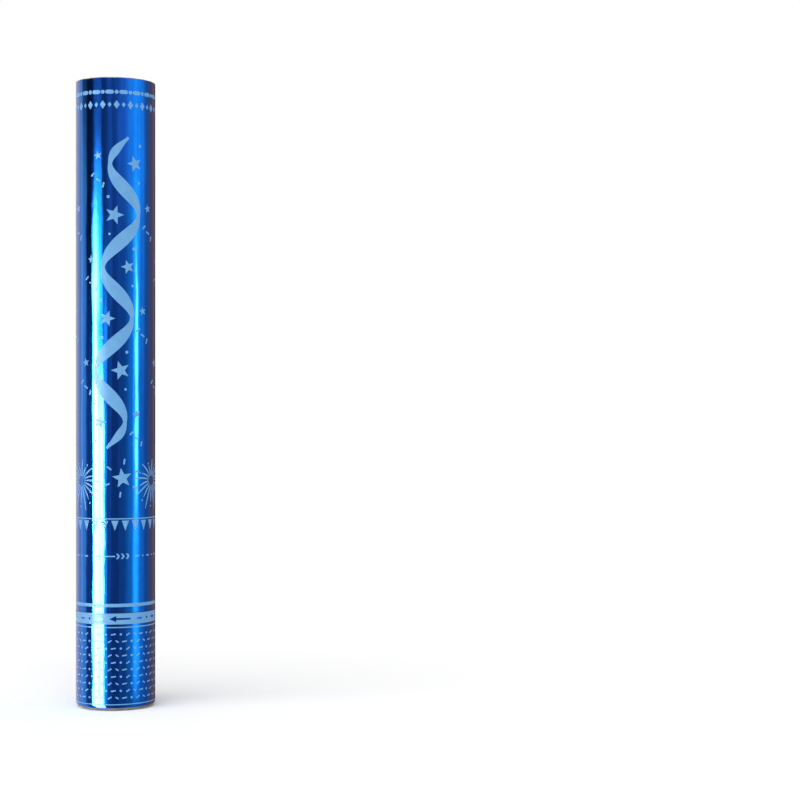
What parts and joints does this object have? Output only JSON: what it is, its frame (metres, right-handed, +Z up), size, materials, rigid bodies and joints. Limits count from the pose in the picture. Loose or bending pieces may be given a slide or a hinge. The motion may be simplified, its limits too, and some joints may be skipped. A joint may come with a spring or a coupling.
{
  "type": "confetti popper",
  "caption": "Round tube popper: twisting the short lower grip pierces a gas canister inside, which pushes a wad, confetti and the muzzle seal out of the open end.",
  "frame": {"origin": "middle of the base it stands on, on the tube's axis", "axes": "+Z up the barrel to the muzzle, -Y to the front with the printed turn arrows, +X to the right of that front"},
  "size_m": [0.0508, 0.0508, 0.4],
  "materials": {
    "paperboard": "spiral-wound grey-brown board, matt",
    "blue_film": "blue metallised film, mirror bright with a faint ripple",
    "greyboard": "pressed grey board, matt",
    "white_plastic": "natural white moulding, satin",
    "black_plastic": "black moulding, satin",
    "steel": "drawn bright steel",
    "aluminium": "drawn aluminium, satin",
    "brass": "crimped brass, satin",
    "black_rubber": "black rubber, matt",
    "foam": "white foam, cellular",
    "gold_slips": "gold foil-faced tissue",
    "blue_slips": "blue foil-faced tissue",
    "silver_slips": "silver foil-faced tissue",
    "magenta_slips": "magenta foil-faced tissue",
    "red_slips": "red foil-faced tissue",
    "green_slips": "green foil-faced tissue",
    "white_card": "white-lined card, matt"
  },
  "bodies": {
    "barrel": {"barrel_tube": "paperboard", "barrel_film": "blue_film", "joint_sleeve": "paperboard", "striker_guide": "white_plastic", "guide_cap": "black_plastic", "return_spring": "steel", "gas_canister": "aluminium", "neck_membrane": "aluminium", "neck_ferrule": "brass", "neck_gasket": "black_rubber", "canister_retainer": "white_plastic"},
    "grip": {"grip_tube": "paperboard", "grip_film": "blue_film", "base_disc": "greyboard", "twist_hub": "white_plastic"},
    "striker": {"striker": "black_plastic", "cross_pin": "steel", "needle": "steel"},
    "payload": {"pusher_disc": "greyboard", "foam_wad": "foam", "confetti_gold": "gold_slips", "confetti_blue": "blue_slips", "confetti_silver": "silver_slips", "confetti_magenta": "magenta_slips", "confetti_red": "red_slips", "confetti_green": "green_slips"},
    "seal": {"muzzle_seal": "white_card"}
  },
  "joints": [
    {"name": "grip_twist", "type": "hinge", "parent": "barrel", "child": "grip", "pos_m": [0, 0, 0], "axis": [0, 0, -1], "range_deg": [0, 90]},
    {"name": "striker_slide", "type": "slide", "parent": "grip", "child": "striker", "axis": [0, 0, 1], "range_m": [0, 0.008], "deforming": ["return_spring", "neck_membrane"]},
    {"name": "payload_eject", "type": "slide", "parent": "barrel", "child": "payload", "axis": [0, 0, 1], "range_m": [0, 0.245]},
    {"name": "seal_eject", "type": "slide", "parent": "barrel", "child": "seal", "axis": [0, 0, 1], "range_m": [0, 0.295]}
  ],
  "couplings": [
    {"joint": "striker_slide", "follows": "grip_twist", "m_per_rad": 0.005093},
    {"joint": "seal_eject", "follows": "payload_eject", "ratio": 1.2}
  ]
}
